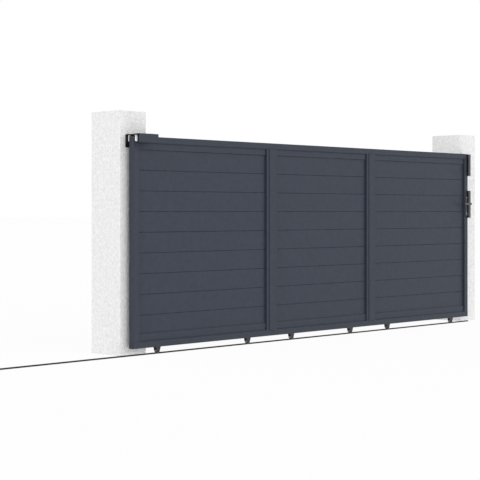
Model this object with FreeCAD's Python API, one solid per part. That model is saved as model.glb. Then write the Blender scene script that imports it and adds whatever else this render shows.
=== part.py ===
import FreeCAD, Part
import math
import os

from FreeCAD import Vector

# Sliding driveway gate of aluminium boards between two rendered pillars.
# Millimetres. X runs along the gate, Y away from the street and Z up.
# The origin is the centre of the left pillar's base, and the leaf is closed.

# Driveway, and the closed leaf's reach beyond it at either side
PASSAGE_WIDTH = 4000.0
GUIDE_SIDE_OVERLAP = 190.0
LOCK_SIDE_OVERLAP = 10.0
UNOPENED_WIDTH = 150.0

# Pillars, which rise above the leaf
PILLAR_WIDTH = 255.0
PILLAR_DEPTH = 325.0
PILLAR_RISE = 187.0
PILLAR_ARRIS = 6.0

# Leaf as a whole
LEAF_HEIGHT = 1550.0
FRAME_DEPTH = 54.0
GROUND_GAP = 52.0
WALL_GAP = 30.0

# Frame extrusions
RAIL_HEIGHT = 47.0
FRAME_WALL = 2.0
FRAME_RADIUS = 2.0
END_STILE_WIDTH = 50.0
MIDDLE_STILE_WIDTH = 120.0
STRIP_WIDTH = 64.0
STRIP_RISE = 6.0
MIDDLE_BAY_WIDTH = 1150.0
CHANNEL_STEP = 12.0
TOP_CHANNEL_HEIGHT = 50.0
BOTTOM_CHANNEL_HEIGHT = 57.0
CAP_THICKNESS = 3.0
CAP_PLUG = 12.0

# Boards that fill the bays
BOARD_COUNT = 9
BOARD_THICKNESS = 14.0
BOARD_WALL = 1.5
BOARD_CHAMFER = 3.0
TONGUE_THICKNESS = 5.0
TONGUE_LENGTH = 8.0
GROOVE_DEPTH = 12.0
TOP_TUCK = 2.0
BOTTOM_TUCK = 15.5

# Clearances between pieces, and the length below which points coincide
SEAT_CLEARANCE = 0.4
RUNNING_GAP = 0.3
TINY = 1e-5

# Ground track
TRACK_LENGTHS = 3
TRACK_OVERRUN = 37.0
TRACK_BASE_WIDTH = 30.0
TRACK_BASE_THICKNESS = 2.5
TRACK_HEIGHT = 9.5
BEAD_RADIUS = 6.0

# Wheels and their carriages
WHEEL_INSET = 198.0
WHEEL_ROOT_RADIUS = 11.0
WHEEL_FLANGE = 4.0
WHEEL_WIDTH = 20.0
WHEEL_EDGE = 1.0
AXLE_RADIUS = 4.0
AXLE_HEAD_RADIUS = 6.5
AXLE_HEAD = 2.0
CARRIAGE_LENGTH = 48.0
CARRIAGE_FOOT = 21.0
CARRIAGE_SHEET = 4.0
CARRIAGE_FOOT_RADIUS = 7.0
WHEEL_SIDE_GAP = 2.0

# Upper guide on the left pillar
GUIDE_LENGTH = 188.0
GUIDE_OVERHANG = 11.0
GUIDE_REACH = 70.0
GUIDE_TOP_GAP = 10.0
GUIDE_SHEET = 4.0
GUIDE_BEND = 6.0
GUIDE_BACK_DROP = 95.0
COVER_SHEET = 3.0
COVER_DROP = 64.0
COVER_RETURN = 40.0
ROLLER_RADIUS = 10.0
ROLLER_LENGTH = 44.0
ROLLER_EDGE = 2.0
ROLLER_INSET = 25.0
PIN_RADIUS = 4.0
PIN_COLLAR_RADIUS = 6.5
PIN_COLLAR = 2.5
PIN_HEAD = 3.0
NUT_FLATS = 13.0
NUT_HEIGHT = 6.5
PIN_TAIL = 3.0
SLOT_LENGTH = 24.0

# Catches on the right pillar
CATCH_LENGTH = 47.0
CATCH_END_GAP = 29.0
CATCH_FRONT_GAP = 9.5
CATCH_SHEET = 4.0
CATCH_FLARE = 7.0
CATCH_BEND = 5.0
UPPER_CATCH_DROP = 3.5
UPPER_CATCH_HEIGHT = 205.0
KEEPER_BELOW_LEVER = 132.0
KEEPER_HEIGHT = 258.0

# Lock and lever handles
LEVER_BELOW_TOP = 477.0
LOCK_SETBACK = 28.0
PLATE_WIDTH = 30.0
PLATE_HEIGHT = 187.0
PLATE_THICKNESS = 8.0
PLATE_BELOW_LEVER = 115.0
PLATE_CORNER = 6.0
LEVER_LENGTH = 100.0
LEVER_REACH = 52.0
LEVER_GRIP = 11.0
LEVER_EYE_WIDTH = 24.0
LEVER_TIP_WIDTH = 14.0
LEVER_CORNER_SHARE = 0.43
LEVER_NECK_RADIUS = 7.0
LEVER_COLLAR_RADIUS = 11.5
LEVER_COLLAR = 3.0
LEVER_EDGE = 2.5
SPINDLE_SIDE = 8.0
SPINDLE_HOLE_RADIUS = 6.5
CYLINDER_BELOW_LEVER = 89.0
CYLINDER_RADIUS = 7.5
CYLINDER_STAND = 2.5

# Stop at the open end of the track
STOP_GAP = 8.0
STOP_PLATE = 6.0
STOP_WIDTH = 60.0
STOP_HEIGHT = 110.0
STOP_FOOT = 100.0

# Leaf position and levels, from the sizes above
LEAF_LENGTH = GUIDE_SIDE_OVERLAP + PASSAGE_WIDTH + LOCK_SIDE_OVERLAP
LEAF_LEFT = PILLAR_WIDTH / 2 - GUIDE_SIDE_OVERLAP
LEAF_RIGHT = LEAF_LEFT + LEAF_LENGTH
TRAVEL = PASSAGE_WIDTH - UNOPENED_WIDTH
PILLAR_FRONT = -PILLAR_DEPTH / 2
LEAF_BACK = PILLAR_FRONT - WALL_GAP
LEAF_FRONT = LEAF_BACK - FRAME_DEPTH
LEAF_MIDDLE = LEAF_FRONT + FRAME_DEPTH / 2
LEAF_BOTTOM = GROUND_GAP
LEAF_TOP = LEAF_BOTTOM + LEAF_HEIGHT
PILLAR_HEIGHT = LEAF_TOP + PILLAR_RISE
STILE_BOTTOM = LEAF_BOTTOM + RAIL_HEIGHT
STILE_TOP = LEAF_TOP - RAIL_HEIGHT
STRIP_FRONT = LEAF_FRONT - STRIP_RISE
STRIP_BACK = LEAF_BACK + STRIP_RISE
CHANNEL_FRONT = LEAF_FRONT + CHANNEL_STEP
CHANNEL_BACK = LEAF_BACK - CHANNEL_STEP
BOARD_FRONT = LEAF_MIDDLE - BOARD_THICKNESS / 2
BOARD_BACK = LEAF_MIDDLE + BOARD_THICKNESS / 2
SEAT_FRONT = BOARD_FRONT - SEAT_CLEARANCE
SEAT_BACK = BOARD_BACK + SEAT_CLEARANCE
SIDE_BAY_WIDTH = (LEAF_LENGTH - MIDDLE_BAY_WIDTH) / 2 - END_STILE_WIDTH - MIDDLE_STILE_WIDTH
BOTTOM_CHANNEL_TOP = STILE_BOTTOM + BOTTOM_CHANNEL_HEIGHT
TOP_CHANNEL_BOTTOM = STILE_TOP - TOP_CHANNEL_HEIGHT
STACK_BOTTOM = BOTTOM_CHANNEL_TOP - BOTTOM_TUCK
BOARD_PITCH = (TOP_CHANNEL_BOTTOM + TOP_TUCK - STACK_BOTTOM) / BOARD_COUNT
AXLE_LEVEL = TRACK_HEIGHT + RUNNING_GAP + WHEEL_ROOT_RADIUS
OPEN_STOP_FACE = LEAF_LEFT - TRAVEL - STOP_GAP
LOCK_X = LEAF_RIGHT - LOCK_SETBACK
LEVER_HEIGHT = LEAF_TOP - LEVER_BELOW_TOP
PLATE_BOTTOM = LEVER_HEIGHT - PLATE_BELOW_LEVER
CYLINDER_HEIGHT = LEVER_HEIGHT - CYLINDER_BELOW_LEVER
KEEPER_BOTTOM = LEVER_HEIGHT - KEEPER_BELOW_LEVER
UPPER_CATCH_BOTTOM = LEAF_TOP - UPPER_CATCH_DROP - UPPER_CATCH_HEIGHT
GUIDE_LEFT = LEAF_LEFT - GUIDE_OVERHANG
GUIDE_RIGHT = GUIDE_LEFT + GUIDE_LENGTH
GUIDE_UNDERSIDE = LEAF_TOP + GUIDE_TOP_GAP
GUIDE_TOP = GUIDE_UNDERSIDE + GUIDE_SHEET

# The three bays by name, with the places of their left and right edges
LEFT_BAY_START = LEAF_LEFT + END_STILE_WIDTH
MIDDLE_BAY_START = LEFT_BAY_START + SIDE_BAY_WIDTH + MIDDLE_STILE_WIDTH
RIGHT_BAY_START = MIDDLE_BAY_START + MIDDLE_BAY_WIDTH + MIDDLE_STILE_WIDTH
BAYS = {
    "left_bay": (LEFT_BAY_START, LEFT_BAY_START + SIDE_BAY_WIDTH),
    "middle_bay": (MIDDLE_BAY_START, MIDDLE_BAY_START + MIDDLE_BAY_WIDTH),
    "right_bay": (RIGHT_BAY_START, RIGHT_BAY_START + SIDE_BAY_WIDTH),
}

# A drawing plane names its two axes, and the level is measured along the third
PLANE_NORMALS = {"xy": Vector(0, 0, 1), "xz": Vector(0, 1, 0), "yz": Vector(1, 0, 0)}


def point_on(plane, level, u, v):
    """Place drawing coordinates u, v on a plane at a level."""
    if plane == "xy":
        return Vector(u, v, level)
    if plane == "xz":
        return Vector(u, level, v)
    return Vector(level, u, v)


def rectangle(u0, u1, v0, v1, radius=0.0):
    """Corners of a rectangle, each with the same rounding radius."""
    return [(u0, v0, radius), (u1, v0, radius), (u1, v1, radius), (u0, v1, radius)]


def sharp(points):
    """Corners without rounding."""
    return [(u, v, 0.0) for u, v in points]


def outline_wire(plane, level, corners):
    """Closed wire through (u, v, radius) corners, with an arc at each rounded one."""
    count = len(corners)
    spots = [Vector(u, v, 0) for u, v, _ in corners]
    arcs = []
    for i, (_, _, radius) in enumerate(corners):
        here = spots[i]
        back = (spots[i - 1] - here).normalize()
        ahead = (spots[(i + 1) % count] - here).normalize()
        half = back.getAngle(ahead) / 2
        reach = radius / math.tan(half)
        bisector = (back + ahead).normalize() if radius > 0 else Vector(0, 0, 0)
        crown = here + bisector * (radius / math.sin(half) - radius)
        arcs.append((here + back * reach, crown, here + ahead * reach))
    edges = []
    for i, (start, crown, end) in enumerate(arcs):
        a, b, c = (point_on(plane, level, p.x, p.y) for p in (start, crown, end))
        if corners[i][2] > 0:
            edges.append(Part.Arc(a, b, c).toShape())
        following = arcs[(i + 1) % count][0]
        d = point_on(plane, level, following.x, following.y)
        if not c.isEqual(d, TINY):
            edges.append(Part.LineSegment(c, d).toShape())
    return Part.Wire(edges)


def extrusion(plane, start, end, outline, hollows=()):
    """Prism of an outline, less its hollows, between two levels of a plane."""
    wires = [outline_wire(plane, start, corners) for corners in (outline, *hollows)]
    face = Part.makeFace(wires, "Part::FaceMakerBullseye")
    return face.extrude(PLANE_NORMALS[plane] * (end - start))


def block(x0, x1, y0, y1, z0, z1):
    """Rectangular solid between two corners."""
    return Part.makeBox(x1 - x0, y1 - y0, z1 - z0, Vector(x0, y0, z0))


def rod(radius, start, end):
    """Round bar between two points."""
    return Part.makeCylinder(radius, (end - start).Length, start, end - start)


def turned(centre, axis, outline):
    """Solid of revolution of (radius, along) corners about a Y or Z axis."""
    plane = "xz" if axis == "z" else "xy"
    level = centre.y if axis == "z" else centre.z
    along = centre.z if axis == "z" else centre.y
    placed = [(centre.x + r, along + a, rounding) for r, a, rounding in outline]
    direction = Vector(0, 0, 1) if axis == "z" else Vector(0, 1, 0)
    face = Part.makeFace([outline_wire(plane, level, placed)], "Part::FaceMakerBullseye")
    return face.revolve(centre, direction, 360)


def save(name, *solids):
    """Write one node of the assembly, made of one or more solids."""
    shape = solids[0] if len(solids) == 1 else Part.makeCompound(list(solids))
    shape.exportStep("parts/" + name + ".step")


def pillar(x):
    """Rendered masonry pillar with eased corners, centred on x."""
    half_width = PILLAR_WIDTH / 2
    half_depth = PILLAR_DEPTH / 2
    outline = rectangle(x - half_width, x + half_width, -half_depth, half_depth, PILLAR_ARRIS)
    return extrusion("xy", 0, PILLAR_HEIGHT, outline)


def track_length(x0, x1):
    """Steel strip with a round-topped bead for the wheels."""
    half_base = TRACK_BASE_WIDTH / 2
    outline = [
        (LEAF_MIDDLE - half_base, 0, 0),
        (LEAF_MIDDLE + half_base, 0, 0),
        (LEAF_MIDDLE + half_base, TRACK_BASE_THICKNESS, 0),
        (LEAF_MIDDLE + BEAD_RADIUS, TRACK_BASE_THICKNESS, 0),
        (LEAF_MIDDLE + BEAD_RADIUS, TRACK_HEIGHT, BEAD_RADIUS),
        (LEAF_MIDDLE - BEAD_RADIUS, TRACK_HEIGHT, BEAD_RADIUS),
        (LEAF_MIDDLE - BEAD_RADIUS, TRACK_BASE_THICKNESS, 0),
        (LEAF_MIDDLE - half_base, TRACK_BASE_THICKNESS, 0),
    ]
    return extrusion("yz", x0, x1, outline)


def frame_rail(z0):
    """Hollow rail along the whole leaf, less the caps at its ends."""
    outer = rectangle(LEAF_FRONT, LEAF_BACK, z0, z0 + RAIL_HEIGHT, FRAME_RADIUS)
    inner = rectangle(LEAF_FRONT + FRAME_WALL, LEAF_BACK - FRAME_WALL,
                      z0 + FRAME_WALL, z0 + RAIL_HEIGHT - FRAME_WALL)
    return extrusion("yz", LEAF_LEFT + CAP_THICKNESS, LEAF_RIGHT - CAP_THICKNESS, outer, [inner])


def rail_cap(x_end, inward, z0):
    """Plastic cap on a rail's end, with a plug that sits inside the tube."""
    outer = rectangle(LEAF_FRONT, LEAF_BACK, z0, z0 + RAIL_HEIGHT, FRAME_RADIUS)
    inset = FRAME_WALL + SEAT_CLEARANCE
    plug = rectangle(LEAF_FRONT + inset, LEAF_BACK - inset, z0 + inset, z0 + RAIL_HEIGHT - inset)
    x_seat = x_end + inward * CAP_THICKNESS
    plate = extrusion("yz", x_end, x_seat, outer)
    return plate.fuse(extrusion("yz", x_seat, x_seat + inward * CAP_PLUG, plug)).removeSplitter()


def groove(x_lip, x_seat):
    """Front-to-back outline corners of the edge of a stile that is grooved for the boards' ends."""
    return [
        (x_lip, LEAF_FRONT, FRAME_RADIUS),
        (x_lip, SEAT_FRONT, 0),
        (x_seat, SEAT_FRONT, 0),
        (x_seat, SEAT_BACK, 0),
        (x_lip, SEAT_BACK, 0),
        (x_lip, LEAF_BACK, FRAME_RADIUS),
    ]


def lip_chambers(x_lip, x_seat):
    """Hollows in the front and back lips of a stile's groove."""
    near, far = sorted((x_seat, x_lip + math.copysign(FRAME_WALL, x_seat - x_lip)))
    return [
        rectangle(near, far, LEAF_FRONT + FRAME_WALL, SEAT_FRONT - FRAME_WALL),
        rectangle(near, far, SEAT_BACK + FRAME_WALL, LEAF_BACK - FRAME_WALL),
    ]


def end_stile(x_outer, inward):
    """Hollow end stile, grooved for the boards' ends."""
    x_lip = x_outer + inward * END_STILE_WIDTH
    x_seat = x_lip - inward * GROOVE_DEPTH
    outline = groove(x_lip, x_seat) + [
        (x_outer, LEAF_BACK, FRAME_RADIUS),
        (x_outer, LEAF_FRONT, FRAME_RADIUS),
    ]
    near, far = sorted((x_outer + inward * FRAME_WALL, x_seat - inward * FRAME_WALL))
    tube = rectangle(near, far, LEAF_FRONT + FRAME_WALL, LEAF_BACK - FRAME_WALL)
    return extrusion("xy", STILE_BOTTOM, STILE_TOP, outline, [tube, *lip_chambers(x_lip, x_seat)])


def middle_stile(x0):
    """Multi-chamber stile with a raised strip along its middle and a groove at each edge."""
    x1 = x0 + MIDDLE_STILE_WIDTH
    strip_left = (x0 + x1 - STRIP_WIDTH) / 2
    strip_right = strip_left + STRIP_WIDTH
    left_seat = x0 + GROOVE_DEPTH
    right_seat = x1 - GROOVE_DEPTH
    front_strip = [
        (strip_left, LEAF_FRONT, 0),
        (strip_left, STRIP_FRONT, FRAME_RADIUS),
        (strip_right, STRIP_FRONT, FRAME_RADIUS),
        (strip_right, LEAF_FRONT, 0),
    ]
    back_strip = [
        (strip_right, LEAF_BACK, 0),
        (strip_right, STRIP_BACK, FRAME_RADIUS),
        (strip_left, STRIP_BACK, FRAME_RADIUS),
        (strip_left, LEAF_BACK, 0),
    ]
    outline = front_strip + groove(x1, right_seat) + back_strip + groove(x0, left_seat)[::-1]
    core_front = STRIP_FRONT + FRAME_WALL
    core_back = STRIP_BACK - FRAME_WALL
    wing_front = LEAF_FRONT + FRAME_WALL
    wing_back = LEAF_BACK - FRAME_WALL
    hollows = [
        rectangle(strip_left + FRAME_WALL, strip_right - FRAME_WALL, core_front, core_back),
        rectangle(left_seat + FRAME_WALL, strip_left, wing_front, wing_back),
        rectangle(strip_right, right_seat - FRAME_WALL, wing_front, wing_back),
        *lip_chambers(x0, left_seat),
        *lip_chambers(x1, right_seat),
    ]
    return extrusion("xy", STILE_BOTTOM, STILE_TOP, outline, hollows)


def board_channel(x0, x1, z_back, z_mouth, seat_depth):
    """Channel across a bay, grooved at its mouth for the boards, with a hollow back."""
    towards_back = 1 if z_back > z_mouth else -1
    z_seat = z_mouth + towards_back * seat_depth
    outline = sharp([
        (CHANNEL_FRONT, z_back), (CHANNEL_FRONT, z_mouth), (SEAT_FRONT, z_mouth), (SEAT_FRONT, z_seat),
        (SEAT_BACK, z_seat), (SEAT_BACK, z_mouth), (CHANNEL_BACK, z_mouth), (CHANNEL_BACK, z_back),
    ])
    near, far = sorted((z_seat + towards_back * FRAME_WALL, z_back - towards_back * FRAME_WALL))
    hollow = rectangle(CHANNEL_FRONT + FRAME_WALL, CHANNEL_BACK - FRAME_WALL, near, far)
    return extrusion("yz", x0, x1, outline, [hollow])


def board(x0, x1, z0):
    """Hollow tongue-and-groove board with chamfered edges that make a V at each joint."""
    z1 = z0 + BOARD_PITCH - SEAT_CLEARANCE
    half_tongue = TONGUE_THICKNESS / 2
    half_groove = half_tongue + SEAT_CLEARANCE
    groove_top = z0 + TONGUE_LENGTH + SEAT_CLEARANCE
    tongue_top = z1 + TONGUE_LENGTH
    outline = sharp([
        (BOARD_FRONT, z0 + BOARD_CHAMFER), (BOARD_FRONT + BOARD_CHAMFER, z0),
        (LEAF_MIDDLE - half_groove, z0), (LEAF_MIDDLE - half_groove, groove_top),
        (LEAF_MIDDLE + half_groove, groove_top), (LEAF_MIDDLE + half_groove, z0),
        (BOARD_BACK - BOARD_CHAMFER, z0), (BOARD_BACK, z0 + BOARD_CHAMFER),
        (BOARD_BACK, z1 - BOARD_CHAMFER), (BOARD_BACK - BOARD_CHAMFER, z1),
        (LEAF_MIDDLE + half_tongue, z1), (LEAF_MIDDLE + half_tongue, tongue_top),
        (LEAF_MIDDLE - half_tongue, tongue_top), (LEAF_MIDDLE - half_tongue, z1),
        (BOARD_FRONT + BOARD_CHAMFER, z1), (BOARD_FRONT, z1 - BOARD_CHAMFER),
    ])
    hollow = rectangle(BOARD_FRONT + BOARD_WALL, BOARD_BACK - BOARD_WALL,
                       groove_top + BOARD_WALL, z1 - BOARD_CHAMFER - BOARD_WALL)
    return extrusion("yz", x0, x1, outline, [hollow])


def bay_boards(x0, x1):
    """The stack of boards of one bay, with their ends in the stiles' grooves."""
    insert = GROOVE_DEPTH - 2 * SEAT_CLEARANCE
    levels = [STACK_BOTTOM + i * BOARD_PITCH for i in range(BOARD_COUNT)]
    return [board(x0 - insert, x1 + insert, z) for z in levels]


def bay_channels(x0, x1):
    """Top and bottom channels that hold the stack of boards."""
    top_seat = TOP_TUCK + TONGUE_LENGTH + SEAT_CLEARANCE
    bottom_seat = BOTTOM_TUCK
    top = board_channel(x0, x1, STILE_TOP, TOP_CHANNEL_BOTTOM, top_seat)
    bottom = board_channel(x0, x1, STILE_BOTTOM, BOTTOM_CHANNEL_TOP, bottom_seat)
    return [top, bottom]


def wheel_places():
    """X of the two wheels under each bay."""
    return [x for x0, x1 in BAYS.values() for x in (x0 + WHEEL_INSET, x1 - WHEEL_INSET)]


def wheel(x):
    """Grooved wheel that runs astride the track's bead."""
    half_width = WHEEL_WIDTH / 2
    groove_radius = BEAD_RADIUS + RUNNING_GAP
    rim = WHEEL_ROOT_RADIUS + WHEEL_FLANGE
    apex = WHEEL_ROOT_RADIUS - groove_radius * (math.sqrt(2) - 1)
    mouth = rim - apex
    bore = AXLE_RADIUS + RUNNING_GAP
    outline = [
        (bore, -half_width, 0),
        (rim, -half_width, WHEEL_EDGE),
        (rim, -mouth, 0),
        (apex, 0, groove_radius),
        (rim, mouth, 0),
        (rim, half_width, WHEEL_EDGE),
        (bore, half_width, 0),
    ]
    return turned(Vector(x, LEAF_MIDDLE, AXLE_LEVEL), "y", outline)


def carriage(x):
    """Folded fork under the bottom rail, with the wheel's riveted axle."""
    half_depth = WHEEL_WIDTH / 2 + WHEEL_SIDE_GAP + CARRIAGE_SHEET
    half_slot = half_depth - CARRIAGE_SHEET
    half_top = CARRIAGE_LENGTH / 2
    half_foot = CARRIAGE_FOOT / 2
    z_foot = AXLE_LEVEL - half_foot
    y0 = LEAF_MIDDLE - half_depth
    y1 = LEAF_MIDDLE + half_depth
    cheeks = extrusion("xz", y0, y1, [
        (x - half_top, LEAF_BOTTOM, 0),
        (x + half_top, LEAF_BOTTOM, 0),
        (x + half_foot, z_foot, CARRIAGE_FOOT_RADIUS),
        (x - half_foot, z_foot, CARRIAGE_FOOT_RADIUS),
    ])
    slot = block(x - half_top, x + half_top, LEAF_MIDDLE - half_slot, LEAF_MIDDLE + half_slot,
                 z_foot, LEAF_BOTTOM - CARRIAGE_SHEET)
    front = Vector(x, y0, AXLE_LEVEL)
    back = Vector(x, y1, AXLE_LEVEL)
    head = Vector(0, AXLE_HEAD, 0)
    axle = [rod(AXLE_RADIUS, front, back), rod(AXLE_HEAD_RADIUS, front - head, front),
            rod(AXLE_HEAD_RADIUS, back, back + head)]
    return cheeks.cut(slot).fuse(axle).removeSplitter()


def roller_places():
    """Point on each guide roller's axis at the guide plate's underside, by the roller's name."""
    offset = ROLLER_RADIUS + RUNNING_GAP
    places = {}
    for side, x in (("left", GUIDE_LEFT + ROLLER_INSET), ("right", GUIDE_RIGHT - ROLLER_INSET)):
        places[side + "_front"] = Vector(x, LEAF_FRONT - offset, GUIDE_UNDERSIDE)
        places[side + "_back"] = Vector(x, LEAF_BACK + offset, GUIDE_UNDERSIDE)
    return places


def guide_roller(top):
    """Nylon roller that hangs on a pin under the guide plate."""
    z1 = -PIN_COLLAR - RUNNING_GAP
    z0 = z1 - ROLLER_LENGTH
    bore = PIN_RADIUS + RUNNING_GAP
    outline = [
        (bore, z0, 0),
        (ROLLER_RADIUS, z0, ROLLER_EDGE),
        (ROLLER_RADIUS, z1, ROLLER_EDGE),
        (bore, z1, 0),
    ]
    return turned(top, "z", outline)


def guide_pin(top):
    """Roller pin with a head below, a collar under the plate and a nut on it."""
    down = Vector(0, 0, -1)
    head_top = top + down * (PIN_COLLAR + ROLLER_LENGTH + 2 * RUNNING_GAP)
    plate_top = top - down * GUIDE_SHEET
    nut_radius = NUT_FLATS / math.sqrt(3)
    corners = [(plate_top.x + nut_radius * math.cos(math.radians(60 * i)),
                plate_top.y + nut_radius * math.sin(math.radians(60 * i))) for i in range(6)]
    nut = extrusion("xy", plate_top.z, plate_top.z + NUT_HEIGHT, sharp(corners))
    shank = rod(PIN_RADIUS, head_top, plate_top - down * (NUT_HEIGHT + PIN_TAIL))
    head = rod(PIN_COLLAR_RADIUS, head_top + down * PIN_HEAD, head_top)
    collar = rod(PIN_COLLAR_RADIUS, top + down * PIN_COLLAR, top)
    return shank.fuse([head, collar, nut]).removeSplitter()


def guide_bracket():
    """Folded angle on the pillar, whose top plate is slotted for the roller pins."""
    z_foot = GUIDE_TOP - GUIDE_BACK_DROP
    y_inner = PILLAR_FRONT - GUIDE_SHEET
    y_front = LEAF_FRONT - GUIDE_REACH + COVER_SHEET
    outline = [
        (PILLAR_FRONT, z_foot, 0),
        (PILLAR_FRONT, GUIDE_TOP, GUIDE_BEND),
        (y_front, GUIDE_TOP, 0),
        (y_front, GUIDE_UNDERSIDE, 0),
        (y_inner, GUIDE_UNDERSIDE, GUIDE_BEND - GUIDE_SHEET),
        (y_inner, z_foot, 0),
    ]
    angle = extrusion("yz", GUIDE_LEFT, GUIDE_RIGHT, outline)
    half_width = PIN_RADIUS + RUNNING_GAP
    half_length = SLOT_LENGTH / 2
    for place in roller_places().values():
        slot = rectangle(place.x - half_width, place.x + half_width,
                         place.y - half_length, place.y + half_length, half_width)
        angle = angle.cut(extrusion("xy", GUIDE_UNDERSIDE, GUIDE_TOP, slot))
    return angle


def guide_cover():
    """Coated sheet that closes the front of the guide and laps over its top plate."""
    y_front = LEAF_FRONT - GUIDE_REACH
    z_top = GUIDE_TOP + COVER_SHEET
    outline = [
        (y_front, z_top - COVER_DROP, 0),
        (y_front, z_top, GUIDE_BEND),
        (y_front + COVER_RETURN, z_top, 0),
        (y_front + COVER_RETURN, GUIDE_TOP, 0),
        (y_front + COVER_SHEET, GUIDE_TOP, 0),
        (y_front + COVER_SHEET, z_top - COVER_DROP, 0),
    ]
    return extrusion("yz", GUIDE_LEFT, GUIDE_RIGHT, outline)


def catch_channel(z0, height):
    """Folded channel on the right pillar that takes the leaf's end, with flared lips."""
    x_web = LEAF_RIGHT + CATCH_END_GAP
    x_outer = x_web + CATCH_SHEET
    x_mouth = x_outer - CATCH_LENGTH
    x_flare = x_mouth + CATCH_FLARE
    y_front = LEAF_FRONT - CATCH_FRONT_GAP
    y_back = PILLAR_FRONT - CATCH_SHEET
    inner_bend = CATCH_BEND - CATCH_SHEET
    outline = [
        (x_mouth, y_front - CATCH_FLARE - CATCH_SHEET, 0),
        (x_flare, y_front - CATCH_SHEET, CATCH_BEND),
        (x_outer, y_front - CATCH_SHEET, CATCH_BEND),
        (x_outer, PILLAR_FRONT, CATCH_BEND),
        (x_mouth, PILLAR_FRONT, 0),
        (x_mouth, y_back, 0),
        (x_web, y_back, inner_bend),
        (x_web, y_front, inner_bend),
        (x_flare, y_front, CATCH_BEND),
        (x_mouth, y_front - CATCH_FLARE, 0),
    ]
    return extrusion("xy", z0, z0 + height, outline)


def lock_bar(radius, z, y0, y1):
    """Round bar on the lock's centre line at height z, from front to back."""
    return rod(radius, Vector(LOCK_X, y0, z), Vector(LOCK_X, y1, z))


def lock_plate(y0):
    """Lock plate with holes for the lever's neck and the key cylinder."""
    half = PLATE_WIDTH / 2
    y1 = y0 + PLATE_THICKNESS
    z1 = PLATE_BOTTOM + PLATE_HEIGHT
    outline = rectangle(LOCK_X - half, LOCK_X + half, PLATE_BOTTOM, z1, PLATE_CORNER)
    neck_hole = lock_bar(LEVER_NECK_RADIUS + RUNNING_GAP, LEVER_HEIGHT, y0, y1)
    key_hole = lock_bar(CYLINDER_RADIUS + RUNNING_GAP, CYLINDER_HEIGHT, y0, y1)
    return extrusion("xz", y0, y1, outline).cut([neck_hole, key_hole])


def lock_holes():
    """Bars that cut the right end stile for the spindle and the key cylinder."""
    spindle_hole = lock_bar(SPINDLE_HOLE_RADIUS, LEVER_HEIGHT, LEAF_FRONT, LEAF_BACK)
    key_hole = lock_bar(CYLINDER_RADIUS + RUNNING_GAP, CYLINDER_HEIGHT, LEAF_FRONT, LEAF_BACK)
    return [spindle_hole, key_hole]


def lock_cylinder():
    """Key cylinder right through the stile and both lock plates."""
    reach = PLATE_THICKNESS + CYLINDER_STAND
    return lock_bar(CYLINDER_RADIUS, CYLINDER_HEIGHT, LEAF_FRONT - reach, LEAF_BACK + reach)


def lies_on(edge, y):
    """Whether an edge lies in the plane at y."""
    box = edge.BoundBox
    return abs(box.YMin - y) < TINY and abs(box.YMax - y) < TINY


def lever(y_leaf, outward):
    """Lever handle: a neck with a collar on the lock plate, and a tapered grip that points left."""
    y_neck = y_leaf + outward * RUNNING_GAP
    y_collar = y_neck + outward * PLATE_THICKNESS
    y_face = y_leaf + outward * (PLATE_THICKNESS + LEVER_REACH)
    y_grip = y_face - outward * LEVER_GRIP
    half_eye = LEVER_EYE_WIDTH / 2
    half_tip = LEVER_TIP_WIDTH / 2
    eye_corner = LEVER_EYE_WIDTH * LEVER_CORNER_SHARE
    tip_corner = LEVER_TIP_WIDTH * LEVER_CORNER_SHARE
    x_eye = LOCK_X + half_eye
    x_tip = LOCK_X - LEVER_LENGTH
    grip = extrusion("xz", y_grip, y_face, [
        (x_tip, LEVER_HEIGHT - half_tip, tip_corner),
        (x_eye, LEVER_HEIGHT - half_eye, eye_corner),
        (x_eye, LEVER_HEIGHT + half_eye, eye_corner),
        (x_tip, LEVER_HEIGHT + half_tip, tip_corner),
    ])
    rims = [edge for edge in grip.Edges if lies_on(edge, y_grip) or lies_on(edge, y_face)]
    neck = lock_bar(LEVER_NECK_RADIUS, LEVER_HEIGHT, y_neck, (y_grip + y_face) / 2)
    collar = lock_bar(LEVER_COLLAR_RADIUS, LEVER_HEIGHT, y_collar, y_collar + outward * LEVER_COLLAR)
    return grip.makeFillet(LEVER_EDGE, rims).fuse([neck, collar]).removeSplitter()


def spindle():
    """Square bar that turns the two levers together."""
    half = SPINDLE_SIDE / 2
    return block(LOCK_X - half, LOCK_X + half, LEAF_FRONT - RUNNING_GAP, LEAF_BACK + RUNNING_GAP,
                 LEVER_HEIGHT - half, LEVER_HEIGHT + half)


def open_stop():
    """Gusseted steel angle on the ground where the opened leaf comes to rest."""
    half_width = STOP_WIDTH / 2
    half_gusset = STOP_PLATE / 2
    x_foot = OPEN_STOP_FACE - STOP_FOOT
    x_back = OPEN_STOP_FACE - STOP_PLATE
    angle = extrusion("xz", LEAF_MIDDLE - half_width, LEAF_MIDDLE + half_width, sharp([
        (x_foot, 0), (OPEN_STOP_FACE, 0), (OPEN_STOP_FACE, STOP_HEIGHT),
        (x_back, STOP_HEIGHT), (x_back, STOP_PLATE), (x_foot, STOP_PLATE),
    ]))
    gusset = extrusion("xz", LEAF_MIDDLE - half_gusset, LEAF_MIDDLE + half_gusset, sharp([
        (x_foot, STOP_PLATE), (x_back, STOP_PLATE), (x_back, STOP_HEIGHT),
    ]))
    return angle.fuse(gusset).removeSplitter()


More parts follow.
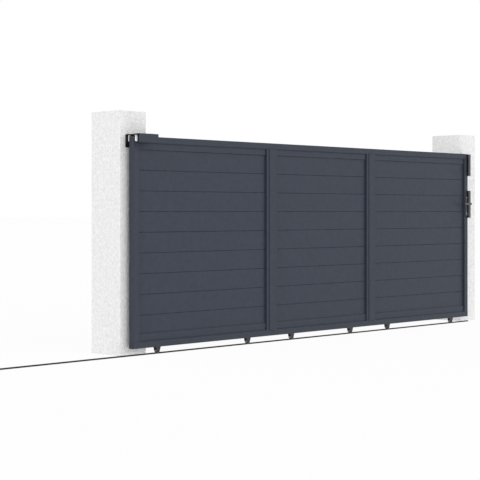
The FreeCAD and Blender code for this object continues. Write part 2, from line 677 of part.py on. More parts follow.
def build_site():
    """Pillars, track, guide, catches and stop, which stay where they are."""
    save("left_pillar", pillar(0))
    save("right_pillar", pillar(PILLAR_WIDTH + PASSAGE_WIDTH))
    track_end = LEAF_RIGHT + TRACK_OVERRUN
    step = (track_end - OPEN_STOP_FACE) / TRACK_LENGTHS
    for i in range(TRACK_LENGTHS):
        x0 = OPEN_STOP_FACE + i * step
        save("track_length_%d" % (i + 1), track_length(x0, x0 + step))
    save("open_stop", open_stop())
    save("guide_bracket", guide_bracket())
    save("guide_cover", guide_cover())
    save("guide_roller_pins", *[guide_pin(top) for top in roller_places().values()])
    for name, top in roller_places().items():
        save("guide_roller_" + name, guide_roller(top))
    save("upper_catch", catch_channel(UPPER_CATCH_BOTTOM, UPPER_CATCH_HEIGHT))
    save("lock_keeper", catch_channel(KEEPER_BOTTOM, KEEPER_HEIGHT))


def build_leaf():
    """Frame, boards, wheels and lock, which slide together."""
    save("bottom_rail", frame_rail(LEAF_BOTTOM))
    save("top_rail", frame_rail(STILE_TOP))
    ends = ((LEAF_LEFT, 1), (LEAF_RIGHT, -1))
    save("rail_end_caps", *[rail_cap(x, inward, z) for z in (LEAF_BOTTOM, STILE_TOP) for x, inward in ends])
    save("left_end_stile", end_stile(LEAF_LEFT, 1))
    save("right_end_stile", end_stile(LEAF_RIGHT, -1).cut(lock_holes()))
    save("left_middle_stile", middle_stile(BAYS["left_bay"][1]))
    save("right_middle_stile", middle_stile(BAYS["middle_bay"][1]))
    for name, (x0, x1) in BAYS.items():
        save(name + "_boards", *bay_boards(x0, x1))
        save(name + "_channels", *bay_channels(x0, x1))
    for i, x in enumerate(wheel_places()):
        save("wheel_carriage_%d" % (i + 1), carriage(x))
        save("wheel_%d" % (i + 1), wheel(x))
    save("front_lock_plate", lock_plate(LEAF_FRONT - PLATE_THICKNESS))
    save("back_lock_plate", lock_plate(LEAF_BACK))
    save("lock_cylinder", lock_cylinder())
    save("front_lever", lever(LEAF_FRONT, -1))
    save("back_lever", lever(LEAF_BACK, 1).fuse(spindle()).removeSplitter())


os.makedirs("parts", exist_ok=True)
build_site()
build_leaf()
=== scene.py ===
"""Finishes, fixings, studio and camera of a sliding driveway gate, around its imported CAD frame.

Lengths are metres in the frame's own axes: X along the gate, Y away from the street and Z up.
"""

import logging
import math
from dataclasses import dataclass
from enum import Enum
from typing import ClassVar

import bmesh
import bpy
from mathutils import Matrix, Vector


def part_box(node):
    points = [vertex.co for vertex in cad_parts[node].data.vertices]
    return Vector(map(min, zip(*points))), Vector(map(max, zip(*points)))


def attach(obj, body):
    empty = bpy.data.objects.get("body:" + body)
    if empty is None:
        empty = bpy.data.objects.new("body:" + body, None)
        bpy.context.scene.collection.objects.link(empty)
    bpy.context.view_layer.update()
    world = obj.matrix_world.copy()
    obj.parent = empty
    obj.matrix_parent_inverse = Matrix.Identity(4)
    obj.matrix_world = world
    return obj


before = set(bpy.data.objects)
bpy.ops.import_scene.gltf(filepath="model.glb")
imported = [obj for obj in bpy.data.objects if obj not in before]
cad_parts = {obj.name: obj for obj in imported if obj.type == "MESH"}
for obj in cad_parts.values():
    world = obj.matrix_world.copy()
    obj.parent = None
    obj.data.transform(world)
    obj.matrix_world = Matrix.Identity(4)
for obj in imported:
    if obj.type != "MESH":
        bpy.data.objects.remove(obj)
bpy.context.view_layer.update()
LOG = logging.getLogger("sliding_gate")
WHITE = (1.0, 1.0, 1.0, 1.0)
FRONT = Vector((0, -1, 0))
BACK = Vector((0, 1, 0))
UP = Vector((0, 0, 1))

Colour = tuple[float, float, float]
Limits = tuple[float, float]
Mesh = bmesh.types.BMesh
Node = bpy.types.Node
Socket = bpy.types.NodeSocket
Tree = bpy.types.NodeTree


class Slot(Enum):
    """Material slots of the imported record."""

    RENDER = "render"
    TRACK = "track_steel"
    GREY = "grey_steel"
    BLACK = "black_steel"
    COAT = "anthracite_coat"
    CAP = "anthracite_plastic"
    ZINC = "zinc_steel"
    WHEEL = "wheel_steel"
    NYLON = "white_nylon"
    HANDLE = "black_handle"
    NICKEL = "nickel"


class Body(Enum):
    """CAD bodies that the added pieces ride on."""

    SITE = "site"
    LEAF = "gate_leaf"


class Head(Enum):
    """Shapes of a fixing's head."""

    HEX = "hex"
    BUTTON = "button"
    FLAT = "flat"


class Sheet:
    """A shader node tree while it is being drawn."""

    # A Mix node repeats its sockets' names for each kind of data, so its colours go by number.
    MIX_LOW: ClassVar[int] = 6
    MIX_HIGH: ClassVar[int] = 7
    MIX_RESULT: ClassVar[int] = 2

    def __init__(self, tree: Tree) -> None:
        """Start drawing on the tree of a material, a world or a group."""
        self.tree = tree

    def add(self, kind: str, **values: object) -> Node:
        """Add a node.

        Args:
            kind: Node type without its ShaderNode prefix.
            values: Input values by socket name, with spaces written as underscores.

        Returns:
            The new node.
        """
        node = self.tree.nodes.new("ShaderNode" + kind)
        self._set(node, values)
        return node

    def group(self, tree: Tree, **values: float) -> Node:
        """Place a node group with its own values.

        Args:
            tree: The group.
            values: Input values by socket name, with spaces written as underscores.

        Returns:
            The group's node.
        """
        node = self.add("Group")
        node.node_tree = tree
        self._set(node, values)
        return node

    @staticmethod
    def _set(node: Node, values: dict[str, object]) -> None:
        """Set a node's inputs by socket name, with spaces written as underscores."""
        for name, value in values.items():
            node.inputs[name.replace("_", " ")].default_value = value

    def join(self, source: Socket, target: Socket) -> None:
        """Link an output to an input."""
        self.tree.links.new(source, target)

    def feed(self, source: object, target: Socket) -> None:
        """Link an output to an input, or set the input to a plain value.

        Args:
            source: Socket or value.
            target: The input.
        """
        if isinstance(source, Socket):
            self.join(source, target)
        else:
            target.default_value = source

    def math(self, operation: str, first: object, second: object) -> Socket:
        """Add a math node.

        Args:
            operation: Blender's name of the operation.
            first: Socket or number.
            second: Socket or number.

        Returns:
            The node's output.
        """
        node = self.add("Math")
        node.operation = operation
        self.feed(first, node.inputs[0])
        self.feed(second, node.inputs[1])
        return node.outputs[0]

    def blend(self, mask: Socket, low: Colour | Socket, high: Colour) -> Socket:
        """Blend two colours by a mask.

        Args:
            mask: Value between 0 and 1.
            low: Colour where the mask is 0.
            high: Colour where the mask is 1.

        Returns:
            The blended colour.
        """
        node = self.add("Mix")
        node.data_type = "RGBA"
        self.join(mask, node.inputs[0])
        for colour, number in ((low, self.MIX_LOW), (high, self.MIX_HIGH)):
            self.feed(colour if isinstance(colour, Socket) else (*colour, 1.0), node.inputs[number])
        return node.outputs[self.MIX_RESULT]

    def spread(self, mask: Socket, low: float, high: float) -> Socket:
        """Spread a mask between two values.

        Args:
            mask: Value between 0 and 1.
            low: Value where the mask is 0.
            high: Value where the mask is 1.

        Returns:
            The spread value.
        """
        node = self.add("MapRange", To_Min=low, To_Max=high)
        self.join(mask, node.inputs["Value"])
        return node.outputs[0]

    def between(self, value: Socket, low: float, high: float) -> Socket:
        """Turn a value into a mask by two limits.

        Args:
            value: Any value.
            low: Value where the mask is 0.
            high: Value where the mask is 1.

        Returns:
            The mask, held between 0 and 1.
        """
        node = self.add("MapRange", From_Min=low, From_Max=high)
        self.join(value, node.inputs["Value"])
        return node.outputs[0]


def new_group(name: str, inputs: dict[str, str], outputs: dict[str, str]) -> tuple[Sheet, Node, Node]:
    """Start a shader node group.

    Args:
        name: The group's name.
        inputs: Socket kind, Float or Vector, by input name.
        outputs: Socket kind by output name.

    Returns:
        A sheet to draw the group on, and the group's input and output nodes.
    """
    tree = bpy.data.node_groups.new(name, "ShaderNodeTree")
    for way, sockets in (("INPUT", inputs), ("OUTPUT", outputs)):
        for socket, kind in sockets.items():
            tree.interface.new_socket(name=socket, in_out=way, socket_type="NodeSocket" + kind)
    return Sheet(tree), tree.nodes.new("NodeGroupInput"), tree.nodes.new("NodeGroupOutput")


@dataclass
class SurfaceEffects:
    """Node groups that several finishes share.

    Each pair of limits holds the values where a mask is 0 and 1. The air's reach counts in edge radii, and
    the dust's patches count per metre.
    """

    blotch_share: float = 0.7
    mottle_contrast: Limits = (0.38, 0.62)
    line_squeeze: tuple[float, float, float] = (0.01, 1.0, 1.0)
    line_contrast: Limits = (0.3, 0.7)
    bevel_samples: int = 6
    sharp_turn: Limits = (1.0, 0.75)
    air_samples: int = 4
    air_reach: float = 3.0
    open_air: Limits = (0.75, 0.95)
    dust_patches: float = 45.0

    def __post_init__(self) -> None:
        """Build each group once."""
        self.mottle = self._mottle()
        self.streaks = self._streaks()
        self.edges = self._edges()
        self.dust = self._dust()

    def _mottle(self) -> Tree:
        """Soft blotches with finer grain over them.

        Returns:
            Group with inputs Vector, Blotches and Grains, and outputs Mask and Height.
        """
        sheet, start, end = new_group(
            "mottle", {"Vector": "Vector", "Blotches": "Float", "Grains": "Float"},
            {"Mask": "Float", "Height": "Float"})
        coarse = sheet.add("TexNoise", Detail=3.0, Roughness=0.6)
        fine = sheet.add("TexNoise", Detail=2.0, Roughness=0.7)
        for node, scale in ((coarse, "Blotches"), (fine, "Grains")):
            sheet.join(start.outputs["Vector"], node.inputs["Vector"])
            sheet.join(start.outputs[scale], node.inputs["Scale"])
        blotches = sheet.math("MULTIPLY", coarse.outputs[0], self.blotch_share)
        grains = sheet.math("MULTIPLY", fine.outputs[0], 1.0 - self.blotch_share)
        mask = sheet.between(sheet.math("ADD", blotches, grains), *self.mottle_contrast)
        sheet.join(mask, end.inputs["Mask"])
        sheet.join(fine.outputs[0], end.inputs["Height"])
        return sheet.tree

    def _streaks(self) -> Tree:
        """Fine lines along X, as drawing or rolling leaves them.

        Returns:
            Group with inputs Vector and Lines, and output Mask.
        """
        sheet, start, end = new_group(
            "drawn_streaks", {"Vector": "Vector", "Lines": "Float"}, {"Mask": "Float"})
        squeeze = sheet.add("Mapping", Scale=self.line_squeeze)
        lines = sheet.add("TexNoise", Detail=2.0, Roughness=0.6)
        sheet.join(start.outputs["Vector"], squeeze.inputs["Vector"])
        sheet.join(squeeze.outputs[0], lines.inputs["Vector"])
        sheet.join(start.outputs["Lines"], lines.inputs["Scale"])
        sheet.join(sheet.between(lines.outputs[0], *self.line_contrast), end.inputs["Mask"])
        return sheet.tree

    def _edges(self) -> Tree:
        """Where an outer edge is rubbed, and the surface's normal as if its edges were rounded.

        Returns:
            Group with input Radius, and outputs Mask and Normal.
        """
        sheet, start, end = new_group(
            "soft_edges", {"Radius": "Float"}, {"Mask": "Float", "Normal": "Vector"})
        rounded = sheet.add("Bevel")
        rounded.samples = self.bevel_samples
        flat = sheet.add("NewGeometry")
        agree = sheet.add("VectorMath")
        agree.operation = "DOT_PRODUCT"
        sheet.join(start.outputs["Radius"], rounded.inputs["Radius"])
        sheet.join(rounded.outputs[0], agree.inputs[0])
        sheet.join(flat.outputs["True Normal"], agree.inputs[1])
        sharp = sheet.between(agree.outputs["Value"], *self.sharp_turn)
        air = sheet.add("AmbientOcclusion")
        air.samples = self.air_samples
        air.only_local = True
        sheet.join(sheet.math("MULTIPLY", start.outputs["Radius"], self.air_reach), air.inputs["Distance"])
        outer = sheet.between(air.outputs["AO"], *self.open_air)
        sheet.join(sheet.math("MULTIPLY", sharp, outer), end.inputs["Mask"])
        sheet.join(rounded.outputs[0], end.inputs["Normal"])
        return sheet.tree

    def _dust(self) -> Tree:
        """Dust that thins out with height above the ground.

        Returns:
            Group with inputs Vector and Reach, and output Mask.
        """
        sheet, start, end = new_group(
            "ground_dust", {"Vector": "Vector", "Reach": "Float"}, {"Mask": "Float"})
        place = sheet.add("SeparateXYZ")
        patches = sheet.add("TexNoise", Scale=self.dust_patches, Detail=4.0)
        sheet.join(start.outputs["Vector"], place.inputs[0])
        sheet.join(start.outputs["Vector"], patches.inputs["Vector"])
        height = sheet.math("DIVIDE", place.outputs["Z"], start.outputs["Reach"])
        low_down = sheet.between(height, 1.0, 0.0)
        sheet.join(sheet.math("MULTIPLY", low_down, patches.outputs[0]), end.inputs["Mask"])
        return sheet.tree


@dataclass(frozen=True)
class Finish:
    """A finish of one material slot: a principled shader with pattern, relief and soft edges.

    The first of two colours or roughnesses stands where the pattern's mask is 0, and the second where it
    is 1. Worn is the colour of rubbed edges, in a finish that shows them.
    """

    slot: Slot
    dark: Colour
    light: Colour
    roughness: Limits
    metallic: float = 0.0
    specular: float = 0.5
    relief: float = 0.1
    grain: float = 0.001
    blotch_grains: float = 50.0
    edge_radius: float = 0.0015
    worn: Colour | None = None

    def material(self, effects: SurfaceEffects) -> bpy.types.Material:
        """Make the finish's material.

        Args:
            effects: Shared node groups.

        Returns:
            The new material.
        """
        made = bpy.data.materials.new(self.slot.value + "_finish")
        made.use_nodes = True
        sheet = Sheet(made.node_tree)
        shader = made.node_tree.nodes["Principled BSDF"]
        shader.inputs["Metallic"].default_value = self.metallic
        shader.inputs["Specular IOR Level"].default_value = self.specular
        place = sheet.add("TexCoord").outputs["Object"]
        mask, height = self.pattern(sheet, effects, place)
        edges = sheet.group(effects.edges, Radius=self.edge_radius)
        colour = self.colour(sheet, effects, place, mask)
        if self.worn is not None:
            rubbed = sheet.math("MULTIPLY", edges.outputs["Mask"], mask)
            colour = sheet.blend(rubbed, colour, self.worn)
        sheet.join(colour, shader.inputs["Base Color"])
        sheet.join(sheet.spread(mask, *self.roughness), shader.inputs["Roughness"])
        bump = sheet.add("Bump", Strength=self.relief, Distance=self.grain)
        sheet.join(height, bump.inputs["Height"])
        sheet.join(edges.outputs["Normal"], bump.inputs["Normal"])
        sheet.join(bump.outputs[0], shader.inputs["Normal"])
        return made

    def mottled(self, sheet: Sheet, effects: SurfaceEffects, place: Socket) -> Node:
        """Place blotches and grains of the finish's own sizes.

        Args:
            sheet: The material's sheet.
            effects: Shared node groups.
            place: Object coordinates.

        Returns:
            The group's node.
        """
        blotch = self.blotch_grains * self.grain
        mottle = sheet.group(effects.mottle, Blotches=1.0 / blotch, Grains=1.0 / self.grain)
        sheet.join(place, mottle.inputs["Vector"])
        return mottle

    def pattern(self, sheet: Sheet, effects: SurfaceEffects, place: Socket) -> tuple[Socket, Socket]:
        """Draw the pattern that the colour, gloss and relief follow.

        Args:
            sheet: The material's sheet.
            effects: Shared node groups.
            place: Object coordinates.

        Returns:
            Mask and height.
        """
        mottle = self.mottled(sheet, effects, place)
        return mottle.outputs["Mask"], mottle.outputs["Height"]

    def colour(self, sheet: Sheet, effects: SurfaceEffects, place: Socket, mask: Socket) -> Socket:
        """Colour the pattern.

        Args:
            sheet: The material's sheet.
            effects: Shared node groups; not used here.
            place: Object coordinates; not used here.
            mask: The pattern's mask.

        Returns:
            The colour.
        """
        return sheet.blend(mask, self.dark, self.light)


@dataclass(frozen=True)
class MineralRender(Finish):
    """Scratched white render with shallow troughs between its grains."""

    blotch_grains: float = 5.0
    cells_per_grain: float = 0.35
    trough_power: float = 2.0

    def pattern(self, sheet: Sheet, effects: SurfaceEffects, place: Socket) -> tuple[Socket, Socket]:
        """Draw grains that stand between wandering troughs.

        Args:
            sheet: The material's sheet.
            effects: Shared node groups.
            place: Object coordinates.

        Returns:
            Mask and height.
        """
        mottle = self.mottled(sheet, effects, place)
        cells = sheet.add("TexVoronoi", Scale=self.cells_per_grain / self.grain)
        sheet.join(place, cells.inputs["Vector"])
        troughs = sheet.math("POWER", cells.outputs["Distance"], self.trough_power)
        return mottle.outputs["Mask"], sheet.math("SUBTRACT", mottle.outputs["Height"], troughs)


@dataclass(frozen=True)
class DrawnMetal(Finish):
    """Bare or plated metal with fine lines, counted per metre, and dust near the ground."""

    lines: float = 900.0
    dust: Colour = (0.30, 0.28, 0.25)
    dust_reach: float = 0.04

    def pattern(self, sheet: Sheet, effects: SurfaceEffects, place: Socket) -> tuple[Socket, Socket]:
        """Draw streaks along the metal.

        Args:
            sheet: The material's sheet.
            effects: Shared node groups.
            place: Object coordinates.

        Returns:
            Mask and height, which are the same.
        """
        streaks = sheet.group(effects.streaks, Lines=self.lines)
        sheet.join(place, streaks.inputs["Vector"])
        return streaks.outputs["Mask"], streaks.outputs["Mask"]

    def colour(self, sheet: Sheet, effects: SurfaceEffects, place: Socket, mask: Socket) -> Socket:
        """Colour the streaks and dust the lowest part.

        Args:
            sheet: The material's sheet.
            effects: Shared node groups.
            place: Object coordinates.
            mask: The pattern's mask.

        Returns:
            The colour.
        """
        dust = sheet.group(effects.dust, Reach=self.dust_reach)
        sheet.join(place, dust.inputs["Vector"])
        return sheet.blend(dust.outputs["Mask"], sheet.blend(mask, self.dark, self.light), self.dust)


FINISHES: tuple[Finish, ...] = (
    MineralRender(Slot.RENDER, dark=(0.82, 0.82, 0.82), light=(0.94, 0.94, 0.94), roughness=(0.95, 0.85),
                  specular=0.2, relief=0.6, grain=0.005, edge_radius=0.006),
    Finish(Slot.COAT, dark=(0.0365, 0.0435, 0.0608), light=(0.0415, 0.0495, 0.0692), roughness=(0.44, 0.36),
           specular=0.17, relief=0.12, grain=0.0008, worn=(0.085, 0.095, 0.118)),
    Finish(Slot.CAP, dark=(0.0365, 0.0422, 0.0573), light=(0.0402, 0.0464, 0.0630), roughness=(0.56, 0.48),
           specular=0.17, relief=0.1, grain=0.0006, worn=(0.070, 0.078, 0.096)),
    Finish(Slot.GREY, dark=(0.037, 0.037, 0.039), light=(0.044, 0.044, 0.046), roughness=(0.42, 0.34),
           relief=0.1, grain=0.0008, worn=(0.115, 0.115, 0.118)),
    Finish(Slot.BLACK, dark=(0.012, 0.012, 0.013), light=(0.018, 0.018, 0.019), roughness=(0.42, 0.34),
           relief=0.1, grain=0.0008, worn=(0.060, 0.060, 0.062)),
    Finish(Slot.HANDLE, dark=(0.040, 0.041, 0.043), light=(0.050, 0.051, 0.053), roughness=(0.36, 0.28),
           specular=0.7, relief=0.06, grain=0.0006, edge_radius=0.001, worn=(0.105, 0.105, 0.108)),
    Finish(Slot.NYLON, dark=(0.90, 0.90, 0.89), light=(0.94, 0.94, 0.93), roughness=(0.50, 0.40),
           relief=0.05, grain=0.001),
    DrawnMetal(Slot.TRACK, dark=(0.012, 0.012, 0.013), light=(0.018, 0.018, 0.019), roughness=(0.55, 0.45),
               metallic=0.2, specular=0.2, relief=0.05, grain=0.0005, dust=(0.040, 0.038, 0.034)),
    DrawnMetal(Slot.ZINC, dark=(0.42, 0.42, 0.43), light=(0.52, 0.52, 0.54), roughness=(0.45, 0.35),
               metallic=0.9, relief=0.05, grain=0.0005),
    DrawnMetal(Slot.WHEEL, dark=(0.22, 0.22, 0.22), light=(0.32, 0.32, 0.32), roughness=(0.45, 0.35),
               metallic=0.8, relief=0.05, grain=0.0005),
    DrawnMetal(Slot.NICKEL, dark=(0.50, 0.49, 0.47), light=(0.60, 0.59, 0.57), roughness=(0.32, 0.25),
               metallic=1.0, relief=0.04, grain=0.0005, edge_radius=0.0006),
)


class Paintshop:
    """The materials of every slot, put on CAD nodes and on added pieces."""

    def __init__(self) -> None:
        """Make each finish's material once."""
        effects = SurfaceEffects()
        self.materials = {finish.slot: finish.material(effects) for finish in FINISHES}

    def dress(self, slot: Slot, *names: str) -> None:
        """Put a finish on CAD nodes.

        Args:
            slot: The finish's slot.
            names: CAD nodes.
        """
        for name in names:
            self._paint(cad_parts[name], slot)
            LOG.info("dressed %s in %s", name, slot.value)

    def add(self, mesh: Mesh, name: str, body: Body, slot: Slot) -> None:
        """Make a finished bmesh a piece that rides on a body.

        Args:
            mesh: The piece's shape, in its place.
            name: The piece's name.
            body: The body that carries it.
            slot: The finish's slot.
        """
        bmesh.ops.recalc_face_normals(mesh, faces=mesh.faces)
        data = bpy.data.meshes.new(name)
        mesh.to_mesh(data)
        mesh.free()
        piece = bpy.data.objects.new(name, data)
        bpy.context.scene.collection.objects.link(piece)
        self._paint(piece, slot)
        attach(piece, body.value)
        LOG.info("built %s on %s", name, body.value)

    def _paint(self, piece: bpy.types.Object, slot: Slot) -> None:
        """Give a piece one material."""
        piece.data.materials.clear()
        piece.data.materials.append(self.materials[slot])


@dataclass(frozen=True)
class Fixing:
    """A bolt or screw, of which only the head shows.

    The washer is given by its radius. The drive's rim and draft are shares of the head's radius, and its
    depth and the rim's ease are shares of the head's height.
    """

    head: Head
    radius: float
    height: float
    washer: float = 0.0
    washer_height: float = 0.0015
    washer_sides: int = 20
    drive_rim: float = 0.3
    drive_draft: float = 0.02
    drive_depth: float = 0.5
    sides: ClassVar[dict[Head, int]] = {Head.HEX: 6, Head.BUTTON: 16, Head.FLAT: 14}
    rim_ease: ClassVar[dict[Head, float]] = {Head.HEX: 0.15, Head.BUTTON: 0.6, Head.FLAT: 0.15}
    rim_steps: ClassVar[dict[Head, int]] = {Head.HEX: 1, Head.BUTTON: 3, Head.FLAT: 1}

    def place(self, mesh: Mesh, spot: Vector, outward: Vector) -> None:
        """Model the head in its place.

        Args:
            mesh: The mesh that takes it.
            spot: Point of the surface under the head.
            outward: Direction away from that surface.
        """
        seat = Matrix.Translation(spot) @ outward.to_track_quat("Z", "Y").to_matrix().to_4x4()
        base = 0.0
        if self.washer > 0:
            self._disc(mesh, seat, self.washer_sides, self.washer, base, self.washer_height)
            base = self.washer_height
        verts = self._disc(mesh, seat, self.sides[self.head], self.radius, base, self.height)
        self._shape_top(mesh, verts, outward)

    @staticmethod
    def _disc(mesh: Mesh, seat: Matrix, sides: int, radius: float, base: float,
              height: float) -> list[bmesh.types.BMVert]:
        """Model a flat prism.

        Args:
            mesh: The mesh that takes it.
            seat: The place and turn of the surface that it stands on.
            sides: Number of its sides.
            radius: Its radius.
            base: Its foot's height over the surface.
            height: Its height.

        Returns:
            Its vertices.
        """
        middle = seat @ Matrix.Translation((0, 0, base + height / 2))
        made = bmesh.ops.create_cone(mesh, cap_ends=True, segments=sides, radius1=radius, radius2=radius,
                                     depth=height, matrix=middle)
        return made["verts"]

    @staticmethod
    def _top(verts: list[bmesh.types.BMVert], outward: Vector) -> bmesh.types.BMFace:
        """Find the vertices' face that lies furthest along a direction."""
        faces = {face for vert in verts for face in vert.link_faces}
        return max(faces, key=lambda face: face.calc_center_median().dot(outward))

    def _shape_top(self, mesh: Mesh, verts: list[bmesh.types.BMVert], outward: Vector) -> None:
        """Ease the head's rim and sink its drive.

        Args:
            mesh: The mesh that holds the head.
            verts: The head's vertices.
            outward: Direction that the head points.
        """
        rim = list(self._top(verts, outward).edges)
        eased = bmesh.ops.bevel(mesh, geom=rim, offset=self.height * self.rim_ease[self.head],
                                offset_type="OFFSET", affect="EDGES", segments=self.rim_steps[self.head],
                                profile=0.5, material=-1)
        if self.head is Head.HEX:
            return
        top = self._top(eased["verts"], outward)
        bmesh.ops.inset_individual(mesh, faces=[top], thickness=self.radius * self.drive_rim, depth=0.0)
        bmesh.ops.inset_individual(mesh, faces=[top], thickness=self.radius * self.drive_draft,
                                   depth=-self.height * self.drive_depth)


def fixings(paint: Paintshop, name: str, body: Body, slot: Slot, fixing: Fixing,
            spots: list[Vector], outward: Vector) -> None:
    """Build a set of like fixings as one piece.

    Args:
        paint: The materials.
        name: The piece's name.
        body: The body that carries it.
        slot: The finish's slot.
        fixing: The fixing's shape.
        spots: Points of the surfaces under the heads.
        outward: Direction that the heads point.
    """
    mesh = bmesh.new()
    for spot in spots:
        fixing.place(mesh, spot, outward)
    paint.add(mesh, name, body, slot)


@dataclass
class Pillars:
    """The two rendered pillars."""

    names: tuple[str, ...] = ("left_pillar", "right_pillar")

    def dress(self, paint: Paintshop) -> None:
        """Give both pillars their render."""
        paint.dress(Slot.RENDER, *self.names)


@dataclass
class GroundTrack:
    """Track lengths with their ground screws, and the stop at the open end."""

    lengths: int = 3
    flange: float = 0.0025
    screw: Fixing = Fixing(Head.FLAT, radius=0.0033, height=0.0006)
    screw_pitch: float = 0.45
    screw_edge: float = 0.0045
    stop_bolt: Fixing = Fixing(Head.HEX, radius=0.0075, height=0.0053, washer=0.010)
    stop_bolt_inset: float = 0.016
    stop_plate: float = 0.006

    def build(self, paint: Paintshop) -> None:
        """Build the ground screws and the stop's bolts.

        Args:
            paint: The materials.
        """
        spots = []
        for i in range(1, self.lengths + 1):
            low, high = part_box(f"track_length_{i}")
            count = round((high.x - low.x) / self.screw_pitch)
            step = (high.x - low.x) / count
            for k in range(count):
                x = low.x + (k + 0.5) * step
                for y in (low.y + self.screw_edge, high.y - self.screw_edge):
                    spots.append(Vector((x, y, self.flange)))
        fixings(paint, "track_ground_screws", Body.SITE, Slot.ZINC, self.screw, spots, UP)
        low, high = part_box("open_stop")
        x = low.x + self.stop_bolt_inset
        rows = (low.y + self.stop_bolt_inset, high.y - self.stop_bolt_inset)
        bolts = [Vector((x, y, self.stop_plate)) for y in rows]
        fixings(paint, "stop_anchor_bolts", Body.SITE, Slot.ZINC, self.stop_bolt, bolts, UP)

    def dress(self, paint: Paintshop) -> None:
        """Give the track its dull steel and the stop its black coat."""
        paint.dress(Slot.TRACK, *(f"track_length_{i}" for i in range(1, self.lengths + 1)))
        paint.dress(Slot.BLACK, "open_stop")


@dataclass
class UpperGuide:
    """Roller guide on the left pillar."""

    sides: tuple[str, ...] = ("left_front", "left_back", "right_front", "right_back")
    wall: float = 0.004
    wall_bolt: Fixing = Fixing(Head.HEX, radius=0.0075, height=0.0053, washer=0.010)
    wall_bolt_spread: float = 0.03
    wall_bolt_drop: float = 0.045
    cover_screw: Fixing = Fixing(Head.BUTTON, radius=0.005, height=0.0028)
    cover_screw_inset: float = 0.03
    cover_screw_setback: float = 0.026

    def build(self, paint: Paintshop) -> None:
        """Build the bolts into the pillar and the screws of the cover.

        Args:
            paint: The materials.
        """
        low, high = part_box("guide_bracket")
        middle = (low.x + high.x) / 2
        y = high.y - self.wall
        z = high.z - self.wall_bolt_drop
        bolts = [Vector((middle + way * self.wall_bolt_spread, y, z)) for way in (-1, 1)]
        fixings(paint, "guide_wall_bolts", Body.SITE, Slot.ZINC, self.wall_bolt, bolts, FRONT)
        low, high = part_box("guide_cover")
        y = low.y + self.cover_screw_setback
        columns = (low.x + self.cover_screw_inset, high.x - self.cover_screw_inset)
        screws = [Vector((x, y, high.z)) for x in columns]
        fixings(paint, "guide_cover_screws", Body.SITE, Slot.ZINC, self.cover_screw, screws, UP)

    def dress(self, paint: Paintshop) -> None:
        """Finish the bracket, cover, rollers and pins.

        Args:
            paint: The materials.
        """
        paint.dress(Slot.BLACK, "guide_bracket")
        paint.dress(Slot.COAT, "guide_cover")
        paint.dress(Slot.ZINC, "guide_roller_pins")
        paint.dress(Slot.NYLON, *(f"guide_roller_{side}" for side in self.sides))


@dataclass
class Catches:
    """Channels on the right pillar that take the closing leaf."""

    names: tuple[str, ...] = ("upper_catch", "lock_keeper")
    wall: float = 0.004
    screw: Fixing = Fixing(Head.BUTTON, radius=0.005, height=0.0028)
    screw_inset: float = 0.03
    screw_setback: float = 0.014

    def build(self, paint: Paintshop) -> None:
        """Build the screws inside each channel.

        Args:
            paint: The materials.
        """
        for name in self.names:
            low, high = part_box(name)
            x = low.x + self.screw_setback
            y = high.y - self.wall
            levels = (low.z + self.screw_inset, (low.z + high.z) / 2, high.z - self.screw_inset)
            screws = [Vector((x, y, z)) for z in levels]
            fixings(paint, name + "_screws", Body.SITE, Slot.ZINC, self.screw, screws, FRONT)

    def dress(self, paint: Paintshop) -> None:
        """Give the channels their dark grey coat."""
        paint.dress(Slot.GREY, *self.names)


@dataclass
class Leaf:
    """Frame and boards of the sliding leaf, with its wheels."""

    rails: tuple[str, ...] = ("bottom_rail", "top_rail")
    stiles: tuple[str, ...] = ("left_end_stile", "left_middle_stile",
                               "right_middle_stile", "right_end_stile")
    bays: tuple[str, ...] = ("left_bay", "middle_bay", "right_bay")
    wheels: int = 6

    def dress(self, paint: Paintshop) -> None:
        """Coat the frame and boards, and finish the caps, wheels and carriages.

        Args:
            paint: The materials.
        """
        paint.dress(Slot.COAT, *self.rails, *self.stiles)
        paint.dress(Slot.COAT, *(bay + part for bay in self.bays for part in ("_boards", "_channels")))
        paint.dress(Slot.CAP, "rail_end_caps")
        numbers = range(1, self.wheels + 1)
        paint.dress(Slot.WHEEL, *(f"wheel_{i}" for i in numbers))
        paint.dress(Slot.BLACK, *(f"wheel_carriage_{i}" for i in numbers))


